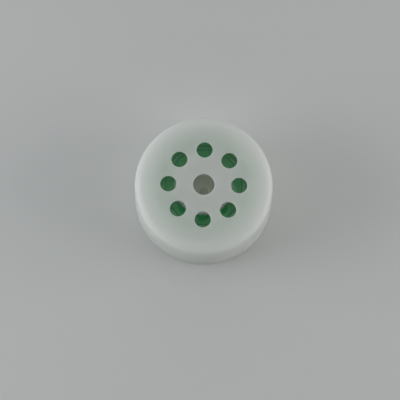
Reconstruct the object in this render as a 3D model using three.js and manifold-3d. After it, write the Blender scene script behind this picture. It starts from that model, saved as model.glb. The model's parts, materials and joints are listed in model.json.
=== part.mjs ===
// Tilt voice drum for a soft toy: a small sealed plastic drum with a perforated top.
// A steel weight hangs on a film bellows inside it. Each time the drum is turned over
// the weight drops, and the air it displaces sounds the reed in the weight's middle.
// Millimetres, +Z up. The origin is the middle of the flat face that the drum stands on.

import * as THREE from 'three';
import { mergeVertices } from 'three/addons/utils/BufferGeometryUtils.js';
import Module from 'manifold-3d';

const wasm = await Module();
wasm.setup();

// ---- driving dimensions ----
const height = 20.6;
const footRadius = 20.75;
const topRadius = 20.1;
const wallBottomRadius = 20.45;
const wall = 1.2;
const edgeRadius = 2.3;
const fit = 0.05; // running gap left between pressed or resting faces

const ringHoles = 8;
const ringHoleRadius = 2.36;
const holeCircleRadius = 10.28;
const centreHoleRadius = 3.13;

const flangeHeight = 1.6;
const spigotTop = 5.0;
const floorTop = 1.2;

const ringOpening = 8.3; // inner radius of the green ring
const coneRadius = 11.1; // where the sloping part ends, at the first groove
const ringEdge = 15.4;
const ringDeck = 16.1; // level of the green ring's flat outer deck
const coneSlope = Math.tan(THREE.MathUtils.degToRad(19));
const ringUnderside = 14.9;
const spigotRadius = 14.2; // both ends of the film are drawn over this radius
const filmThickness = 0.4;

const carrierBottom = 2.3;
const carrierTop = 8.0;
const carrierRadius = 12.6;
const plateRadius = 5.6;
const hubRadius = 6.5;

const facets = 72;
const innerFacets = 56;

// ---- helpers ----
function material(name, color, roughness, metalness = 0) {
  const made = new THREE.MeshStandardMaterial({ color, roughness, metalness });
  made.name = name;
  return made;
}

// A closed outline of [radius, height] pairs, turned round the vertical axis.
function turned(outline, segments = innerFacets) {
  const points = outline.map(([r, z]) => new THREE.Vector2(r, z));
  const onAxis = points[0].x === 0 && points.at(-1).x === 0;
  if (!onAxis) points.push(points[0].clone());
  const geometry = new THREE.LatheGeometry(points, segments);
  return geometry.rotateX(Math.PI / 2);
}

// The points of a quarter-turn or shorter arc in the outline's plane.
function arc(centreR, centreZ, radius, fromDegrees, toDegrees, steps) {
  const points = [];
  for (let i = 0; i <= steps; i += 1) {
    const angle = THREE.MathUtils.degToRad(fromDegrees + ((toDegrees - fromDegrees) * i) / steps);
    points.push([centreR + radius * Math.cos(angle), centreZ + radius * Math.sin(angle)]);
  }
  return points;
}

function ring(inner, outer, bottom, top, bevel = 0) {
  return turned([
    [inner, bottom],
    [outer, bottom],
    [outer, top - bevel],
    [outer - bevel, top],
    [inner + bevel, top],
    [inner, top - bevel],
  ].filter((point, i, all) => i === 0 || point[0] !== all[i - 1][0] || point[1] !== all[i - 1][1]));
}

function toSolid(geometry) {
  const bare = geometry.clone();
  bare.deleteAttribute('normal');
  bare.deleteAttribute('uv');
  const merged = mergeVertices(bare, 1e-4);
  const index = merged.index.array;
  const triangles = [];
  for (let i = 0; i < index.length; i += 3) {
    const [a, b, c] = [index[i], index[i + 1], index[i + 2]];
    if (a !== b && b !== c && c !== a) triangles.push(a, b, c);
  }
  return new wasm.Manifold(new wasm.Mesh({
    numProp: 3,
    vertProperties: Float32Array.from(merged.attributes.position.array),
    triVerts: Uint32Array.from(triangles),
  }));
}

function toGeometry(solid) {
  const mesh = solid.getMesh();
  const geometry = new THREE.BufferGeometry();
  geometry.setAttribute('position', new THREE.BufferAttribute(mesh.vertProperties, 3));
  geometry.setIndex(new THREE.BufferAttribute(mesh.triVerts, 1));
  geometry.computeVertexNormals();
  return geometry;
}

function post(radius, bottom, top, x, y, segments) {
  const geometry = new THREE.CylinderGeometry(radius, radius, top - bottom, segments);
  geometry.rotateX(Math.PI / 2);
  return geometry.translate(x, y, (bottom + top) / 2);
}

function cut(geometry, cutters) {
  const solid = cutters.reduce((body, cutter) => body.subtract(toSolid(cutter)), toSolid(geometry));
  return toGeometry(solid);
}

const group = new THREE.Group();

function add(name, geometry, look, parent = group) {
  const mesh = new THREE.Mesh(geometry, look);
  mesh.name = name;
  parent.add(mesh);
  return mesh;
}

// ---- materials ----
const frosted = material('frosted_plastic', 0xd9dfd6, 0.4);
const green = material('green_plastic', 0x2f6b43, 0.25);
const white = material('white_plastic', 0xe4e4de, 0.45);
const film = material('bellows_film', 0xe2e3dc, 0.5);
const grey = material('grey_plastic', 0xd6dad2, 0.5);
const olive = material('reed_plastic', 0xd4d4c4, 0.45);
const steel = material('plated_steel', 0x9a9c98, 0.35, 1);
const amber = material('reed_film', 0xc9c7b4, 0.35);
const foam = material('foam', 0xdcdcd4, 0.95);

// ---- casing ----
function housingCup() {
  const innerTop = height - wall;
  const innerEdge = edgeRadius - wall;
  const collarInner = ringEdge + 0.1;
  const collarOuter = 16.7;
  const ledge = collarInner - 0.5;
  const ledgeLevel = ringDeck + fit;
  const outline = [
    [0, innerTop],
    [ledge, innerTop],
    [ledge, ledgeLevel],
    [collarInner, ledgeLevel],
    [collarInner, 14.4],
    [collarOuter, 14.4],
    [collarOuter, innerTop],
    ...arc(topRadius - edgeRadius, height - edgeRadius, innerEdge, 90, 0, 4),
    [wallBottomRadius - wall, flangeHeight + fit],
    [wallBottomRadius, flangeHeight + fit],
    ...arc(topRadius - edgeRadius, height - edgeRadius, edgeRadius, 0, 90, 6),
    [0, height],
  ];
  const cutters = [post(centreHoleRadius, innerTop - 1, height + 1, 0, 0, 40)];
  for (let i = 0; i < ringHoles; i += 1) {
    const angle = (i * 2 * Math.PI) / ringHoles;
    const x = holeCircleRadius * Math.cos(angle);
    const y = holeCircleRadius * Math.sin(angle);
    cutters.push(post(ringHoleRadius, innerTop - 1, height + 1, x, y, 32));
  }
  return cut(turned(outline, facets), cutters);
}

function baseCap() {
  const spigotOuter = wallBottomRadius - wall - 0.15;
  const spigotInner = spigotOuter - 1.0;
  const ribInner = 12.5;
  const ribOuter = 13.3;
  const ribTop = 1.9;
  return turned([
    [0, 0],
    [footRadius - 0.5, 0],
    [footRadius, 0.5],
    [footRadius, flangeHeight - 0.35],
    [footRadius - 0.3, flangeHeight],
    [spigotOuter, flangeHeight],
    [spigotOuter, spigotTop - 0.4],
    [spigotOuter - 0.4, spigotTop],
    [spigotInner, spigotTop],
    [spigotInner, floorTop],
    [ribOuter, floorTop],
    [ribOuter, ribTop],
    [ribInner, ribTop],
    [ribInner, floorTop],
    [0, floorTop],
  ], facets);
}

// ---- green ring and the top end of the bellows ----
function bellowsRing() {
  const coneTop = ringDeck + (coneRadius - ringOpening) * coneSlope;
  const spigotInner = spigotRadius - 0.9;
  const spigotBottom = 12.4;
  const grooveEnd = coneRadius + 0.2;
  const grooveFloor = ringDeck - 0.5;
  const scribeStart = 12.2;
  const scribeEnd = scribeStart + 0.12;
  const scribeFloor = ringDeck - 0.3;
  return turned([
    [ringOpening, ringUnderside + 0.7],
    [ringOpening + 0.7, ringUnderside],
    [spigotInner, ringUnderside],
    [spigotInner, spigotBottom],
    [spigotRadius, spigotBottom],
    [spigotRadius, ringUnderside],
    [ringEdge, ringUnderside],
    [ringEdge, ringDeck - 0.2],
    [ringEdge - 0.2, ringDeck],
    [scribeEnd, ringDeck],
    [scribeEnd, scribeFloor],
    [scribeStart, scribeFloor],
    [scribeStart, ringDeck],
    [grooveEnd, ringDeck],
    [grooveEnd, grooveFloor],
    [coneRadius, grooveFloor],
    [coneRadius, ringDeck],
    [ringOpening + 0.25, coneTop - 0.08],
    [ringOpening, coneTop - 0.3],
  ]);
}

function bellowsSleeve() {
  const inner = spigotRadius + fit;
  return ring(inner, inner + filmThickness, carrierBottom + 0.2, ringUnderside - 0.1);
}

function clampRing(bottom, top) {
  const inner = spigotRadius + filmThickness + 2 * fit;
  return ring(inner, ringEdge, bottom, top, 0.15);
}

// ---- weight assembly ----
function weightCarrier() {
  const boreRadius = plateRadius + 0.1;
  const ledgeRadius = plateRadius - 0.9;
  const ledgeLevel = 6.1;
  const floorLevel = carrierBottom + 0.9;
  const wallInner = carrierRadius - 0.9;
  return turned([
    [ledgeRadius, carrierBottom],
    [spigotRadius, carrierBottom],
    [spigotRadius, carrierBottom + 2],
    [carrierRadius, carrierBottom + 2],
    [carrierRadius, carrierTop - 0.2],
    [carrierRadius - 0.2, carrierTop],
    [wallInner, carrierTop],
    [wallInner, floorLevel],
    [hubRadius, floorLevel],
    [hubRadius, carrierTop - 0.3],
    [hubRadius - 0.2, carrierTop - 0.1],
    [boreRadius, carrierTop - 0.1],
    [boreRadius, ledgeLevel],
    [ledgeRadius, ledgeLevel],
  ]);
}

function weightSlug() {
  return ring(hubRadius + 0.1, carrierRadius - 1.0, carrierBottom + 0.95, 7.4, 0.3);
}

// Push-on cover: a wide plastic washer over the slug. Six notches let it grip the hub.
function slugRetainer() {
  const body = ring(hubRadius + fit, carrierRadius - 0.95, 7.46, 7.96, 0.1);
  const notches = [];
  for (let i = 0; i < 6; i += 1) {
    const notch = new THREE.BoxGeometry(1.5, 0.7, 2);
    notch.translate(hubRadius + 0.3, 0, 7.6);
    notches.push(notch.rotateZ((i * Math.PI) / 3 + Math.PI / 6));
  }
  return cut(body, notches);
}

// ---- reed ----
const reed = {
  plateBottom: 6.15,
  plateTop: 7.2,
  slotWidth: 1.5,
  tongueWidth: 2.5,
  tongueRoot: -3.9,
  tongueTip: 1.4,
  thickness: 0.14,
  clipY: -2.9,
  clipDepth: 1.6,
  clipHeight: 0.7,
  pinSpacing: 4.6,
  pinRadius: 0.45,
};

// A strip in the XY plane, square at y0 and round at y1, extruded upwards.
function roundEndedStrip(width, y0, y1, thickness, bottom) {
  const half = width / 2;
  const shape = new THREE.Shape();
  shape.moveTo(-half, y0);
  shape.lineTo(half, y0);
  shape.lineTo(half, y1 - half);
  shape.absarc(0, y1 - half, half, 0, Math.PI, false);
  shape.closePath();
  const options = { depth: thickness, bevelEnabled: false, curveSegments: 12 };
  return new THREE.ExtrudeGeometry(shape, options).translate(0, 0, bottom);
}

function reedPlate() {
  const plate = turned([
    [0, reed.plateBottom],
    [plateRadius, reed.plateBottom],
    [plateRadius, reed.plateTop - 0.15],
    [plateRadius - 0.15, reed.plateTop],
    [0, reed.plateTop],
  ]);
  const slotTip = reed.tongueTip - 0.5;
  const slot = roundEndedStrip(reed.slotWidth, reed.clipY + 1.2, slotTip, 3, reed.plateBottom - 1);
  let solid = toSolid(plate).subtract(toSolid(slot));
  for (const side of [-1, 1]) {
    const x = (side * reed.pinSpacing) / 2;
    const pinTop = reed.plateTop + reed.clipHeight + 0.3;
    const pin = post(reed.pinRadius, reed.plateTop - 0.5, pinTop, x, reed.clipY, 16);
    solid = solid.add(toSolid(pin));
  }
  return toGeometry(solid);
}

function reedTongue() {
  const { tongueWidth, tongueRoot, tongueTip, thickness, plateTop } = reed;
  return roundEndedStrip(tongueWidth, tongueRoot, tongueTip, thickness, plateTop + 0.02);
}

function reedClip() {
  const bottom = reed.plateTop + reed.thickness + 0.04;
  const length = reed.pinSpacing + 2 * reed.pinRadius + 1.2;
  const bar = new THREE.BoxGeometry(length, reed.clipDepth, reed.clipHeight);
  bar.translate(0, reed.clipY, bottom + reed.clipHeight / 2);
  const pins = [-1, 1].map((side) => {
    const x = (side * reed.pinSpacing) / 2;
    return post(reed.pinRadius + fit, bottom - 1, bottom + 2, x, reed.clipY, 16);
  });
  return cut(bar, pins);
}

// ---- assembly ----
add('housing_cup', housingCup(), frosted);
add('base_cap', baseCap(), frosted);
add('base_pad', ring(5.2, 12.3, floorTop, carrierBottom - 0.08), foam);
add('bellows_ring', bellowsRing(), green);
add('top_pad', ring(9.3, 12.3, 14.1, ringUnderside - fit), foam);
add('upper_clamp_ring', clampRing(12.6, ringUnderside - 0.1), white);
add('bellows', bellowsSleeve(), film);

const weightAssembly = new THREE.Group();
group.add(weightAssembly);
add('weight_carrier', weightCarrier(), grey, weightAssembly);
add('lower_clamp_ring', clampRing(carrierBottom + 0.2, carrierBottom + 1.9), white, weightAssembly);
add('weight_slug', weightSlug(), steel, weightAssembly);
add('slug_retainer', slugRetainer(), grey, weightAssembly);
add('reed_plate', reedPlate(), olive, weightAssembly);
add('reed_tongue', reedTongue(), amber, weightAssembly);
add('reed_clip', reedClip(), white, weightAssembly);

export default group;
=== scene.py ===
import json
import math

import bmesh
import bpy
from mathutils import Matrix, Vector, noise


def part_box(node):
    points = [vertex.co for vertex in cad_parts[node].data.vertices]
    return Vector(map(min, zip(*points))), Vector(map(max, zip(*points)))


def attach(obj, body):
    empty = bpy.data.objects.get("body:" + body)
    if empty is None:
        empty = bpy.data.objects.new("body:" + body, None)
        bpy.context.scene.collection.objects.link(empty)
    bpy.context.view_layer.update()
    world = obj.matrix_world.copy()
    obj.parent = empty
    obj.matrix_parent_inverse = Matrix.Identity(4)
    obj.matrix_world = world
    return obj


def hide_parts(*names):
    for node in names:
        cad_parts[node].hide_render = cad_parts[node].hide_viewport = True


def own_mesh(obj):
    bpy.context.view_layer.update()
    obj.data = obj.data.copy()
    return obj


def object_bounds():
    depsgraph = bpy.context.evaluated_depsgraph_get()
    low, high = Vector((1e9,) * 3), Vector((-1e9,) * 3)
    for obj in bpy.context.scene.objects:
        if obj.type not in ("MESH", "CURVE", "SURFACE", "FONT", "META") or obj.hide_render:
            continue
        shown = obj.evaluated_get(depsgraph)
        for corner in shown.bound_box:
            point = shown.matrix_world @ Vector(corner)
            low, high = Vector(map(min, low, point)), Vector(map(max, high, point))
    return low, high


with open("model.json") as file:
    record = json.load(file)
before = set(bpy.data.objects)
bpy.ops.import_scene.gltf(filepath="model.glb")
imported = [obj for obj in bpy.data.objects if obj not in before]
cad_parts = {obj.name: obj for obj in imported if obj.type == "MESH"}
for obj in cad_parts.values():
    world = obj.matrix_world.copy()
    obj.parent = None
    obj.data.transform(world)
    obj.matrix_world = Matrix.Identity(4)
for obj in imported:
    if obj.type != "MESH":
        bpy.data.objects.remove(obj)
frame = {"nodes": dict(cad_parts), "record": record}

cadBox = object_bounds()
fullTurn = 2 * math.pi
drumTop = cadBox[1].z

print("camera and light")

# angles in degrees, lengths in metres
cameraSetup = {
    "turn": 1.578,          # round the drum, from straight in front
    "lean": 10.325,         # off straight above
    "distance": 0.38,
    "lens": 117.98,         # on a 36 mm wide sensor
    "besideAxis": 0.00107,  # how far right of the aimed point the drum's axis is
    "aboveAim": 0.00457,    # and how far up
}


def makeCamera():
    turn = math.radians(cameraSetup["turn"])
    lean = math.radians(cameraSetup["lean"])
    back = Vector((math.sin(turn) * math.sin(lean), -math.cos(turn) * math.sin(lean), math.cos(lean)))
    right = Vector((math.cos(turn), math.sin(turn), 0))
    up = back.cross(right)
    aim = Vector((0, 0, drumTop)) - right * cameraSetup["besideAxis"] - up * cameraSetup["aboveAim"]
    data = bpy.data.cameras.new("camera")
    data.lens = cameraSetup["lens"]
    data.sensor_width = 36
    data.clip_start = 0.01
    data.clip_end = 20
    camera = bpy.data.objects.new("camera", data)
    camera.location = aim + back * cameraSetup["distance"]
    camera.rotation_mode = "QUATERNION"
    camera.rotation_quaternion = Matrix((right, up, back)).transposed().to_quaternion()
    bpy.context.scene.collection.objects.link(camera)
    bpy.context.scene.camera = camera


# soft boxes: place, size, watts and colour
lamps = {
    "leftWindow": {"place": (-0.5, -0.03, 0.12), "size": 0.4, "power": 1.25, "colour": (0.95, 0.99, 1.0)},
    "rightWindow": {"place": (0.5, -0.03, 0.12), "size": 0.4, "power": 0.95, "colour": (1.0, 0.98, 0.95)},
}
# brightness of the room by height (sine of the angle above the horizon), and a dark shape that
# the glossy ring reflects, in front of the drum and above it
room = {
    "byHeight": ((0.0, 0.58), (0.25, 0.54), (0.60, 0.48), (1.0, 0.48)),
    "tint": (0.97, 1.0, 1.0),
    "shapeLean": 30,        # degrees off straight up, towards the front
    "shapeWiden": (0.5, 1, 1),    # makes it wider than it is high
    "shapeInside": 25,      # degrees from its middle to where it starts to fade, and to its edge
    "shapeEdge": 27,
}


def makeLamps():
    for name, lamp in lamps.items():
        data = bpy.data.lights.new(name, "AREA")
        data.shape = "DISK"
        data.size = lamp["size"]
        data.energy = lamp["power"]
        data.color = lamp["colour"]
        lightObject = bpy.data.objects.new(name, data)
        lightObject.location = lamp["place"]
        toDrum = Vector((0, 0, drumTop / 2)) - lightObject.location
        lightObject.rotation_euler = toDrum.to_track_quat("-Z", "Y").to_euler()
        bpy.context.scene.collection.objects.link(lightObject)
    bpy.context.scene.view_settings.view_transform = "Standard"


makeCamera()
makeLamps()

print("materials")


# a number socket that can be used in sums
class Wire:
    def __init__(self, look, socket):
        self.look = look
        self.socket = socket

    def sum(self, operation, first, second):
        return self.look.node("ShaderNodeMath", {"operation": operation}, {0: first, 1: second})

    def __add__(self, other):
        return self.sum("ADD", self, other)

    def __radd__(self, other):
        return self.sum("ADD", other, self)

    def __sub__(self, other):
        return self.sum("SUBTRACT", self, other)

    def __rsub__(self, other):
        return self.sum("SUBTRACT", other, self)

    def __mul__(self, other):
        return self.sum("MULTIPLY", self, other)

    def __rmul__(self, other):
        return self.sum("MULTIPLY", other, self)


# the nodes of one material, or of the room, and the shader that they feed
class Look:
    def __init__(self, name, owners=bpy.data.materials, shader="Principled BSDF", place="Object"):
        self.owner = owners.new(name)
        self.owner.use_nodes = True
        self.tree = self.owner.node_tree
        self.shader = self.tree.nodes[shader]
        self.place = self.node("ShaderNodeTexCoord", output=place)

    def node(self, kind, settings=None, inputs=None, output=0):
        made = self.tree.nodes.new(kind)
        for key, value in (settings or {}).items():
            if key == "stops":
                self.fillRamp(made.color_ramp, value)
            else:
                setattr(made, key, value)
        for key, value in (inputs or {}).items():
            self.feed(made.inputs[key], value)
        return Wire(self, made.outputs[output])

    def fillRamp(self, ramp, stops):
        for spare in list(ramp.elements)[len(stops):]:
            ramp.elements.remove(spare)
        while len(ramp.elements) < len(stops):
            ramp.elements.new(1)
        for element, (position, colour) in zip(ramp.elements, stops):
            element.position = position
            element.color = colour

    def feed(self, socket, value):
        if isinstance(value, Wire):
            self.tree.links.new(value.socket, socket)
        else:
            socket.default_value = value

    def finish(self, values):
        for socket, value in values.items():
            if isinstance(value, tuple) and socket == "Base Color":
                value = (*value, 1)
            self.feed(self.shader.inputs[socket], value)
        return self.owner

    def glow(self, colour, share, normal):
        # lets a share of the light through, spread wide, as thin milky plastic does
        through = self.node("ShaderNodeBsdfTranslucent", {}, {"Color": (*colour, 1), "Normal": normal})
        surface = Wire(self, self.shader.outputs[0])
        blend = self.node("ShaderNodeMixShader", {}, {0: share, 1: surface, 2: through})
        self.feed(self.tree.nodes["Material Output"].inputs["Surface"], blend)

    def cloud(self, size, detail=3, roughness=0.5, place=None):
        # soft noise from 0 to 1 whose blobs are about size metres across
        settings = {"noise_dimensions": "3D"}
        inputs = {"Vector": place or self.place, "Scale": 1 / size, "Detail": detail, "Roughness": roughness}
        return self.node("ShaderNodeTexNoise", settings, inputs, "Fac")

    def between(self, value, low, high, fromLow=0.0, fromHigh=1.0):
        # value stretched from one range on to another, and held inside it
        inputs = {"Value": value, "From Min": fromLow, "From Max": fromHigh, "To Min": low, "To Max": high}
        return self.node("ShaderNodeMapRange", {"clamp": True}, inputs)

    def mixColours(self, factor, first, second):
        inputs = {0: factor, 6: (*first, 1) if isinstance(first, tuple) else first,
                  7: (*second, 1) if isinstance(second, tuple) else second}
        return self.node("ShaderNodeMix", {"data_type": "RGBA"}, inputs, 2)

    def bump(self, height, depth, strength=1.0):
        inputs = {"Height": height, "Distance": depth, "Strength": strength}
        return self.node("ShaderNodeBump", {}, inputs, "Normal")


frosted = {
    "milk": (0.990, 0.994, 0.985),
    "milkDeep": (0.980, 0.985, 0.974),
    "glow": (0.984, 0.990, 0.979),
    "satin": (0.36, 0.46),
    "throughTop": 0.52,     # share of light that each face of the top lets through
    "throughWall": 0.72,    # and of the thinner wall
    "bend": (0.0180, 0.0200),
    # painted shade: a grey-green tint laid on the colour above the ring, in place of the ring's green and
    # shade seen through the top; the next two give the radii where it fades in and where it fades out
    "paintedRingShade": (0.880, 0.940, 0.890),
    "paintedShadeStarts": (0.0078, 0.0125),
    "paintedShadeEnds": (0.0140, 0.0185),
}


def frostedPlastic():
    look = Look("frostedPolypropylene")
    flow = look.cloud(0.011, 4, 0.55)
    sparkGrain = look.cloud(0.00022, 2)
    orangePeel = look.cloud(0.0016, 2)
    colour = look.mixColours(look.between(flow, 0, 1, 0.35, 0.65), frosted["milkDeep"], frosted["milk"])
    roughness = look.between(flow + sparkGrain * 0.4, *frosted["satin"], 0.4, 1.0)
    normal = look.bump(sparkGrain * 0.35 + orangePeel, 0.000012, 0.6)
    height = look.node("ShaderNodeSeparateXYZ", {}, {0: look.place}, "Z")
    # painted shade: the radius from the axis picks the band over the ring where the colour is tinted
    # grey-green, standing in for the ring seen through the top
    level = look.node("ShaderNodeVectorMath", {"operation": "MULTIPLY"}, {0: look.place, 1: (1, 1, 0)})
    radius = look.node("ShaderNodeVectorMath", {"operation": "LENGTH"}, {0: level}, "Value")
    paintedRingShade = look.between(radius, 0, 1, *frosted["paintedShadeStarts"])
    paintedRingShade = paintedRingShade * look.between(radius, 1, 0, *frosted["paintedShadeEnds"])
    colour = look.mixColours(paintedRingShade, colour, frosted["paintedRingShade"])
    thin = look.between(height, frosted["throughWall"], frosted["throughTop"], *frosted["bend"])
    look.glow(frosted["glow"], thin + (flow - 0.5) * 0.1, normal)
    return look.finish({"Base Color": colour, "Roughness": roughness, "Normal": normal, "IOR": 1.49})


glossGreen = {
    "deep": (0.045, 0.295, 0.098),
    "fresh": (0.057, 0.345, 0.118),
    "shine": (0.02, 0.05),
    "polish": 1.0,
}


def greenPlastic():
    look = Look("glossGreenPlastic")
    swirl = look.cloud(0.006, 5, 0.6)
    dust = look.cloud(0.0003, 2)
    colour = look.mixColours(swirl, glossGreen["deep"], glossGreen["fresh"])
    roughness = look.between(swirl * 0.7 + dust * 0.3, *glossGreen["shine"], 0.3, 0.7)
    normal = look.bump(look.cloud(0.0025, 2), 0.00001, 0.3)
    return look.finish({"Base Color": colour, "Roughness": roughness, "Normal": normal, "IOR": 1.55,
                        "Coat Weight": glossGreen["polish"], "Coat Roughness": 0.03})


# pale and dark colour, and the range of roughness
mouldings = {
    "white": ((0.92, 0.92, 0.90), (0.88, 0.88, 0.86), (0.4, 0.55)),
    "greyGreen": ((0.90, 0.93, 0.89), (0.87, 0.90, 0.86), (0.4, 0.55)),
    "olive": ((0.95, 0.93, 0.80), (0.92, 0.90, 0.77), (0.4, 0.55)),
}


def plainMoulding(name, pale, dark, satin, grain=0.0004):
    # satin moulded plastic with faint clouding and a fine grain
    look = Look(name)
    cloud = look.cloud(0.004, 4, 0.6)
    fine = look.cloud(grain, 2)
    colour = look.mixColours(look.between(cloud, 0, 1, 0.35, 0.65), dark, pale)
    roughness = look.between(fine, *satin, 0.3, 0.7)
    normal = look.bump(fine + cloud, 0.00001, 0.5)
    return look.finish({"Base Color": colour, "Roughness": roughness, "Normal": normal})


def platedSteel():
    look = Look("dullZincPlate")
    centred = look.node("ShaderNodeVectorMath", {"operation": "MULTIPLY"}, {0: look.place, 1: (1, 1, 0)})
    radius = look.node("ShaderNodeVectorMath", {"operation": "LENGTH"}, {0: centred}, "Value")
    turning = look.node("ShaderNodeTexNoise", {"noise_dimensions": "1D"},
                        {"W": radius, "Scale": 9000.0, "Detail": 2.0}, "Fac")
    bloom = look.cloud(0.002, 5, 0.65)
    colour = look.mixColours(bloom, (0.62, 0.63, 0.62), (0.72, 0.72, 0.70))
    roughness = look.between(bloom + turning * 0.4, 0.38, 0.6, 0.5, 1.0)
    normal = look.bump(turning, 0.00002, 0.5)
    return look.finish({"Base Color": colour, "Metallic": 0.85, "Roughness": roughness, "Normal": normal})


def bellowsFilm():
    look = Look("bellowsFilm")
    crinkle = look.cloud(0.0016, 4, 0.6)
    colour = look.mixColours(crinkle, (0.96, 0.96, 0.95), (0.985, 0.985, 0.975))
    roughness = look.between(crinkle, 0.28, 0.45, 0.3, 0.7)
    normal = look.bump(crinkle, 0.0001, 0.6)
    look.glow((0.975, 0.975, 0.965), look.between(crinkle, 0.74, 0.82, 0.3, 0.7), normal)
    return look.finish({"Base Color": colour, "Roughness": roughness, "Normal": normal})


def reedFilm():
    look = Look("amberReedStrip")
    along = look.node("ShaderNodeMapping", {}, {"Vector": look.place, "Scale": (4.0, 0.25, 1.0)})
    drawn = look.cloud(0.0006, 3, 0.5, along)
    colour = look.mixColours(drawn, (0.66, 0.66, 0.56), (0.74, 0.74, 0.64))
    normal = look.bump(drawn, 0.00001, 0.5)
    roughness = look.between(drawn, 0.2, 0.35, 0.3, 0.7)
    return look.finish({"Base Color": colour, "Roughness": roughness, "Normal": normal})


def openFoam():
    look = Look("openCellFoam")
    inputs = {"Vector": look.place, "Scale": 1 / 0.0004}
    cells = look.node("ShaderNodeTexVoronoi", {"feature": "DISTANCE_TO_EDGE"}, inputs, "Distance")
    walls = look.between(cells, 0, 1, 0.02, 0.22)
    # painted shade: the pore hollows are coloured darker than the cell walls around them
    colour = look.mixColours(walls, (0.88, 0.88, 0.86), (0.74, 0.74, 0.72))
    normal = look.bump(1 - walls, 0.0001, 0.8)
    return look.finish({"Base Color": colour, "Roughness": look.between(walls, 0.85, 0.98), "Normal": normal,
                        "Sheen Weight": 0.2})


def makeRoom():
    look = Look("room", bpy.data.worlds, "Background", "Generated")
    height = look.node("ShaderNodeSeparateXYZ", {}, {0: look.place}, "Z")
    stops = [(level, (*(light * share for share in room["tint"]), 1))
             for level, light in room["byHeight"]]
    open = look.node("ShaderNodeValToRGB", {"stops": stops}, {0: height})
    lean = math.radians(room["shapeLean"])
    inputs = {0: look.place, 1: room["shapeWiden"]}
    narrowed = look.node("ShaderNodeVectorMath", {"operation": "MULTIPLY"}, inputs)
    facing = look.node("ShaderNodeVectorMath", {"operation": "NORMALIZE"}, {0: narrowed})
    toShape = {0: facing, 1: (0, -math.sin(lean), math.cos(lean))}
    nearness = look.node("ShaderNodeVectorMath", {"operation": "DOT_PRODUCT"}, toShape, "Value")
    edges = [math.cos(math.radians(room[key])) for key in ("shapeEdge", "shapeInside")]
    look.finish({"Color": look.mixColours(look.between(nearness, 0, 1, *edges), open, (0.0, 0.0, 0.0))})
    bpy.context.scene.world = look.owner


looks = {
    "casing_plastic": frostedPlastic(),
    "green_plastic": greenPlastic(),
    "white_plastic": plainMoulding("whiteMoulding", *mouldings["white"]),
    "bellows_film": bellowsFilm(),
    "grey_plastic": plainMoulding("greyGreenMoulding", *mouldings["greyGreen"]),
    "reed_plastic": plainMoulding("oliveMoulding", *mouldings["olive"]),
    "plated_steel": platedSteel(),
    "reed_film": reedFilm(),
    "foam": openFoam(),
}

makeRoom()

print("shapes")


def arcPoints(centreR, centreZ, radius, start, end, steps):
    # points of an arc in the outline's plane, angles in degrees
    points = []
    for step in range(steps + 1):
        angle = math.radians(start + (end - start) * step / steps)
        points.append((centreR + radius * math.cos(angle), centreZ + radius * math.sin(angle)))
    return points


def holdStretches(outline, hold, closed):
    # adds a point near both ends of each long stretch, so that rounded edges don't bend its shading
    held = []
    ends = outline[1:] + (outline[:1] if closed else [])
    for start, end in zip(outline, ends):
        held.append(start)
        length = math.dist(start, end)
        if length > 5 * hold:
            for along in (hold / length, 1 - hold / length):
                held.append(tuple(a + (b - a) * along for a, b in zip(start, end)))
    return held if closed else held + [outline[-1]]


def spinOutline(shape, outline, steps, centre=(0.0, 0.0), closed=False, hold=None):
    # turns [radius, height] pairs round an upright axis that stands at centre
    if hold:
        outline = holdStretches(outline, hold, closed)
    corners = [shape.verts.new((centre[0] + r, centre[1], z)) for r, z in outline]
    edges = [shape.edges.new(pair) for pair in zip(corners, corners[1:])]
    if closed:
        edges.append(shape.edges.new((corners[-1], corners[0])))
    bmesh.ops.spin(shape, geom=corners + edges, cent=(*centre, 0), axis=(0, 0, 1),
                   angle=fullTurn, steps=steps, use_merge=True)


def fillLevel(shape, level, tolerance=1e-7):
    # fills the flat face, holes and all, between the open edges that lie at one level
    edges = [e for e in shape.edges
             if len(e.link_faces) == 1 and all(abs(v.co.z - level) < tolerance for v in e.verts)]
    made = bmesh.ops.triangle_fill(shape, use_beauty=True, use_dissolve=False, edges=edges)
    return [g for g in made["geom"] if isinstance(g, bmesh.types.BMFace)]


def closeShape(shape):
    bmesh.ops.remove_doubles(shape, verts=shape.verts, dist=1e-7)
    bmesh.ops.recalc_face_normals(shape, faces=shape.faces)


def roundEdges(shape, width, segments=3, sharpest=35, pick=None):
    shape.normal_update()
    edges = [e for e in shape.edges
             if len(e.link_faces) == 2 and math.degrees(e.calc_face_angle()) > sharpest
             and (pick is None or pick(e))]
    bmesh.ops.bevel(shape, geom=edges, offset=width, offset_type="OFFSET", segments=segments,
                    profile=0.5, affect="EDGES", clamp_overlap=True, material=-1)


def finishPiece(name, shape, slotName, body, *nodes, flatLevels=()):
    # makes the object, attaches it to its body, and hides the CAD nodes that it stands in for
    mesh = bpy.data.meshes.new(name)
    shape.to_mesh(mesh)
    shape.free()
    mesh.materials.append(looks[slotName])
    for face in mesh.polygons:
        level = face.center.z
        isFlat = abs(face.normal.z) > 0.9999 and any(abs(level - flat) < 1e-6 for flat in flatLevels)
        face.use_smooth = not isFlat
    mesh.set_sharp_from_angle(angle=math.radians(38))
    piece = bpy.data.objects.new(name, mesh)
    bpy.context.scene.collection.objects.link(piece)
    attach(piece, body)
    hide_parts(*nodes)
    return piece


cup = {
    "topRadius": 0.0201,
    "wall": 0.0012,
    "edge": 0.0023,
    "holeRadius": 0.00236,
    "holeCircle": 0.01028,
    "holes": 8,
    "middleHoleRadius": 0.00313,
    "lip": 0.0001,          # rounding of the holes' rims
    "collarInner": 0.0155,
    "collarOuter": 0.0167,
    "collarBottom": 0.0144,
    "ledge": 0.0150,
    "ledgeLevel": 0.01615,
    "turnSteps": 144,
    "holeSteps": 56,
}


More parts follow.
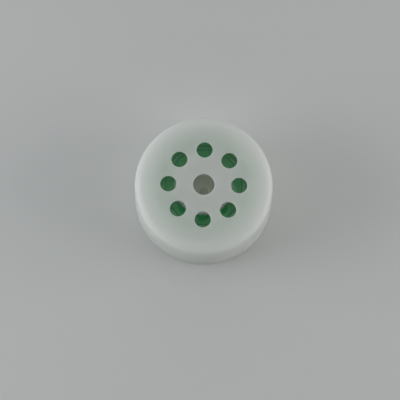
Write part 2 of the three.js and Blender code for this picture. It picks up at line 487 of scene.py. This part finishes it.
def holeTube(shape, x, y, radius, under, top, lip, steps):
    outline = arcPoints(radius + lip, under + lip, lip, 270, 180, 3)
    outline += arcPoints(radius + lip, top - lip, lip, 180, 90, 3)
    spinOutline(shape, outline, steps, (x, y))


def makeCup():
    low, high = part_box("housing_cup")
    top, bottom, bottomRadius = high.z, low.z, high.x
    under = top - cup["wall"]
    edge = cup["edge"]
    flatRadius = cup["topRadius"] - edge
    outline = [(cup["ledge"], under), (cup["ledge"], cup["ledgeLevel"]),
               (cup["collarInner"], cup["ledgeLevel"]), (cup["collarInner"], cup["collarBottom"]),
               (cup["collarOuter"], cup["collarBottom"]), (cup["collarOuter"], under)]
    outline += arcPoints(flatRadius, top - edge, edge - cup["wall"], 90, 0, 6)
    outline += [(bottomRadius - cup["wall"], bottom), (bottomRadius, bottom)]
    outline += arcPoints(flatRadius, top - edge, edge, 0, 90, 14)
    shape = bmesh.new()
    spinOutline(shape, outline, cup["turnSteps"], hold=0.0004)
    holeTube(shape, 0, 0, cup["middleHoleRadius"], under, top, cup["lip"], cup["holeSteps"])
    for step in range(cup["holes"]):
        angle = fullTurn * step / cup["holes"]
        x, y = cup["holeCircle"] * math.cos(angle), cup["holeCircle"] * math.sin(angle)
        holeTube(shape, x, y, cup["holeRadius"], under, top, cup["lip"], cup["holeSteps"])
    fillLevel(shape, top)
    innerEdges = [e for e in shape.edges if len(e.link_faces) == 1]
    bmesh.ops.triangle_fill(shape, use_beauty=True, use_dissolve=False, edges=innerEdges)
    closeShape(shape)
    roundEdges(shape, 0.0002, 2, pick=lambda e: e.verts[0].co.z < under - 1e-5)
    return finishPiece("sound_cup", shape, "casing_plastic", "drum", "housing_cup",
                       flatLevels=(top, under))


base = {
    "wallInset": 0.0012,
    "spigotGap": 0.00015,
    "spigotWall": 0.0010,
    "floor": 0.0012,
    "ribInner": 0.0125,
    "ribOuter": 0.0133,
    "ribTop": 0.0019,
    "footRound": 0.0005,
    "rimRound": 0.0003,
    "gateRadius": 0.0013,
    "gateDepth": 0.00035,
    "pinRadius": 0.0017,
    "pinDepth": 0.00008,
    "pinCircle": 0.0118,
    "pins": 4,
}


def dimple(shape, x, y, radius, depth, rim):
    # a shallow round sink in the underside, open at its rim
    outline = [(0, depth), (radius - rim, depth), (radius, depth - rim), (radius, rim), (radius + rim, 0)]
    spinOutline(shape, outline, 40, (x, y))


def makeBase():
    low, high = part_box("base_cap")
    radius, spigotTop = high.x, high.z
    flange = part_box("housing_cup")[0].z - 0.00005
    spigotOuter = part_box("housing_cup")[1].x - base["wallInset"] - base["spigotGap"]
    spigotInner = spigotOuter - base["spigotWall"]
    foot, rim = base["footRound"], base["rimRound"]
    outline = arcPoints(radius - foot, foot, foot, 270, 360, 6)
    outline += arcPoints(radius - rim, flange - rim, rim, 0, 90, 5)
    outline += [(spigotOuter, flange), (spigotOuter, spigotTop - 0.0004), (spigotOuter - 0.0004, spigotTop),
                (spigotInner, spigotTop), (spigotInner, base["floor"]), (base["ribOuter"], base["floor"]),
                (base["ribOuter"], base["ribTop"]), (base["ribInner"], base["ribTop"]),
                (base["ribInner"], base["floor"]), (0, base["floor"])]
    shape = bmesh.new()
    spinOutline(shape, outline, cup["turnSteps"], hold=0.0003)
    dimple(shape, 0, 0, base["gateRadius"], base["gateDepth"], 0.0001)
    for step in range(base["pins"]):
        angle = fullTurn * (step + 0.5) / base["pins"]
        x, y = base["pinCircle"] * math.cos(angle), base["pinCircle"] * math.sin(angle)
        dimple(shape, x, y, base["pinRadius"], base["pinDepth"], 0.00003)
    bmesh.ops.remove_doubles(shape, verts=shape.verts, dist=1e-7)
    fillLevel(shape, 0)
    closeShape(shape)
    roundEdges(shape, 0.00012, 2, pick=lambda e: e.verts[0].co.z > flange + 1e-5)
    return finishPiece("base_lid", shape, "casing_plastic", "drum", "base_cap",
                       flatLevels=(0.0, base["floor"]))


ring = {
    "opening": 0.0083,
    "slope": 19,            # degrees, down and outwards
    "groove": 0.0111,
    "grooveWidth": 0.0002,
    "grooveDepth": 0.0005,
    "scribe": 0.0122,
    "scribeWidth": 0.00012,
    "scribeDepth": 0.0003,
    "deck": 0.0161,
    "underside": 0.0149,
    "spigotRadius": 0.0142,
    "spigotWall": 0.0009,
}


def makeRing():
    low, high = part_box("bellows_ring")
    edge = high.x
    coneTop = ring["deck"] + (ring["groove"] - ring["opening"]) * math.tan(math.radians(ring["slope"]))
    spigotInner = ring["spigotRadius"] - ring["spigotWall"]
    grooveEnd, grooveFloor = ring["groove"] + ring["grooveWidth"], ring["deck"] - ring["grooveDepth"]
    scribeEnd, scribeFloor = ring["scribe"] + ring["scribeWidth"], ring["deck"] - ring["scribeDepth"]
    outline = [
        (ring["opening"], ring["underside"] + 0.0007), (ring["opening"] + 0.0007, ring["underside"]),
        (spigotInner, ring["underside"]), (spigotInner, low.z), (ring["spigotRadius"], low.z),
        (ring["spigotRadius"], ring["underside"]), (edge, ring["underside"]),
        (edge, ring["deck"] - 0.0002), (edge - 0.0002, ring["deck"]),
        (scribeEnd, ring["deck"]), (scribeEnd, scribeFloor),
        (ring["scribe"], scribeFloor), (ring["scribe"], ring["deck"]),
        (grooveEnd, ring["deck"]), (grooveEnd, grooveFloor),
        (ring["groove"], grooveFloor), (ring["groove"], ring["deck"]),
        (ring["opening"] + 0.00025, coneTop - 0.00008),
        (ring["opening"], coneTop - 0.0003),
    ]
    shape = bmesh.new()
    spinOutline(shape, outline, 128, closed=True, hold=0.00008)
    closeShape(shape)
    roundEdges(shape, 0.00004, 2, sharpest=15)
    return finishPiece("green_ring", shape, "green_plastic", "drum", "bellows_ring")


sleeve = {
    "clampLength": 0.0023,
    "pleats": 4,
    "pleatDepth": 0.0014,
    "film": 0.00008,
    "crinkle": 0.00018,
    "steps": 160,
}


def makeSleeve():
    low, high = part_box("bellows")
    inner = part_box("bellows_ring")[1].x - 0.00115
    travel = frame["record"]["behaviour"]["joints"][0]["range_m"][1]
    keep = 1 - travel / (high.z - low.z)
    straight = sleeve["clampLength"] / keep    # long enough to clear the rings when squashed
    start, end = low.z + straight, high.z - straight
    folds = sleeve["pleats"] * 2
    outline = [(inner, low.z)]
    for fold in range(folds * 4 + 1):
        along = fold / (folds * 4)
        swing = 0.5 - 0.5 * math.cos(fullTurn * sleeve["pleats"] * along)
        outline.append((inner + sleeve["pleatDepth"] * swing, start + (end - start) * along))
    outline.append((inner, high.z))
    shape = bmesh.new()
    spinOutline(shape, outline, sleeve["steps"])
    closeShape(shape)
    for vert in shape.verts:
        reach = math.hypot(vert.co.x, vert.co.y)
        share = (reach - inner) / sleeve["pleatDepth"]
        push = noise.noise(Vector((vert.co.x, vert.co.y, vert.co.z * 0.6)) / 0.0022)
        vert.co.xy *= 1 + share * push * sleeve["crinkle"] / reach
    bmesh.ops.solidify(shape, geom=shape.faces[:], thickness=sleeve["film"])
    closeShape(shape)
    piece = finishPiece("film_bellows", shape, "bellows_film", "drum", "bellows")
    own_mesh(piece)
    return piece


pad = {
    "inner": {"base_pad": 0.0052, "top_pad": 0.0093},
    "crownShare": 0.32,     # of its thickness
    "sag": 0.00006,
    "sagSize": 0.0007,
    "turnSteps": 180,
}


def makePad(name, node, body):
    # a foam ring with a soft, slightly crowned edge
    low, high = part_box(node)
    outer = high.x
    inner = pad["inner"][node]
    thick = high.z - low.z
    crown = thick * pad["crownShare"]
    outline = [(inner, low.z), (outer, low.z)]
    outline += arcPoints(outer - crown, high.z - crown, crown, 0, 90, 5)
    outline += arcPoints(inner + crown, high.z - crown, crown, 90, 180, 5)
    shape = bmesh.new()
    spinOutline(shape, outline, pad["turnSteps"], closed=True)
    closeShape(shape)
    for vert in shape.verts:
        if low.z + 1e-5 < vert.co.z:
            vert.co.z -= pad["sag"] * (1 + noise.noise(vert.co / pad["sagSize"]))
    piece = finishPiece(name, shape, "foam", body, node)
    return piece


carrier = {
    "floor": 0.0009,
    "skirtHeight": 0.0020,
    "bodyRadius": 0.0126,
    "wall": 0.0009,
    "hubRadius": 0.0065,
    "boreRadius": 0.0057,
    "ledgeRadius": 0.0047,
    "ledgeLevel": 0.0061,
}


def makeCarrier():
    low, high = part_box("weight_carrier")
    bottom, top, skirt = low.z, high.z, high.x
    outline = [
        (carrier["ledgeRadius"], bottom), (skirt, bottom), (skirt, bottom + carrier["skirtHeight"]),
        (carrier["bodyRadius"], bottom + carrier["skirtHeight"]), (carrier["bodyRadius"], top),
        (carrier["bodyRadius"] - carrier["wall"], top),
        (carrier["bodyRadius"] - carrier["wall"], bottom + carrier["floor"]),
        (carrier["hubRadius"], bottom + carrier["floor"]), (carrier["hubRadius"], top - 0.0001),
        (carrier["boreRadius"], top - 0.0001), (carrier["boreRadius"], carrier["ledgeLevel"]),
        (carrier["ledgeRadius"], carrier["ledgeLevel"]),
    ]
    shape = bmesh.new()
    spinOutline(shape, outline, 120, closed=True, hold=0.0003)
    closeShape(shape)
    roundEdges(shape, 0.00014, 3)
    return finishPiece("carrier_cup", shape, "grey_plastic", "weight", "weight_carrier")


def makeSlug():
    low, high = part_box("weight_slug")
    inner = carrier["hubRadius"] + 0.0001
    outline = [(inner, low.z), (high.x, low.z), (high.x, high.z), (inner, high.z)]
    shape = bmesh.new()
    spinOutline(shape, outline, 120, closed=True, hold=0.0006)
    closeShape(shape)
    roundEdges(shape, 0.0003, 4)
    return finishPiece("steel_slug", shape, "plated_steel", "weight", "weight_slug")


def refinedCopy(name, node, slotName, body, width):
    # a CAD node's own shape, welded, with its edges eased
    shape = bmesh.new()
    shape.from_mesh(frame["nodes"][node].data)
    closeShape(shape)
    bmesh.ops.dissolve_limit(shape, angle_limit=math.radians(1), verts=shape.verts, edges=shape.edges)
    roundEdges(shape, width, 2)
    return finishPiece(name, shape, slotName, body, node)


makeCup()
makeBase()
makeRing()
makeSleeve()
makePad("base_foam", "base_pad", "drum")
makePad("top_foam", "top_pad", "drum")
makeCarrier()
makeSlug()
refinedCopy("clamp_ring_top", "upper_clamp_ring", "white_plastic", "drum", 0.00008)
refinedCopy("clamp_ring_low", "lower_clamp_ring", "white_plastic", "weight", 0.00008)
refinedCopy("slug_cover", "slug_retainer", "grey_plastic", "weight", 0.00008)
refinedCopy("reed_bed", "reed_plate", "reed_plastic", "weight", 0.00006)
refinedCopy("reed_strip", "reed_tongue", "reed_film", "weight", 0.00002)
refinedCopy("reed_bar", "reed_clip", "white_plastic", "weight", 0.00006)

print("floor")


def makeFloor():
    look = Look("paleFloor")
    tooth = look.cloud(0.0008, 3)
    wash = look.cloud(0.08, 3)
    colour = look.mixColours(wash, (0.73, 0.735, 0.73), (0.75, 0.755, 0.75))
    material = look.finish({"Base Color": colour, "Roughness": look.between(tooth, 0.75, 0.9, 0.3, 0.7),
                            "Normal": look.bump(tooth, 0.00003, 0.3)})
    shape = bmesh.new()
    bmesh.ops.create_grid(shape, x_segments=8, y_segments=8, size=3)
    bmesh.ops.translate(shape, verts=shape.verts, vec=(0, 0, cadBox[0].z - 0.00002))
    mesh = bpy.data.meshes.new("floor")
    shape.to_mesh(mesh)
    shape.free()
    mesh.materials.append(material)
    floor = bpy.data.objects.new("floor", mesh)
    bpy.context.scene.collection.objects.link(floor)


makeFloor()

bpy.context.view_layer.update()
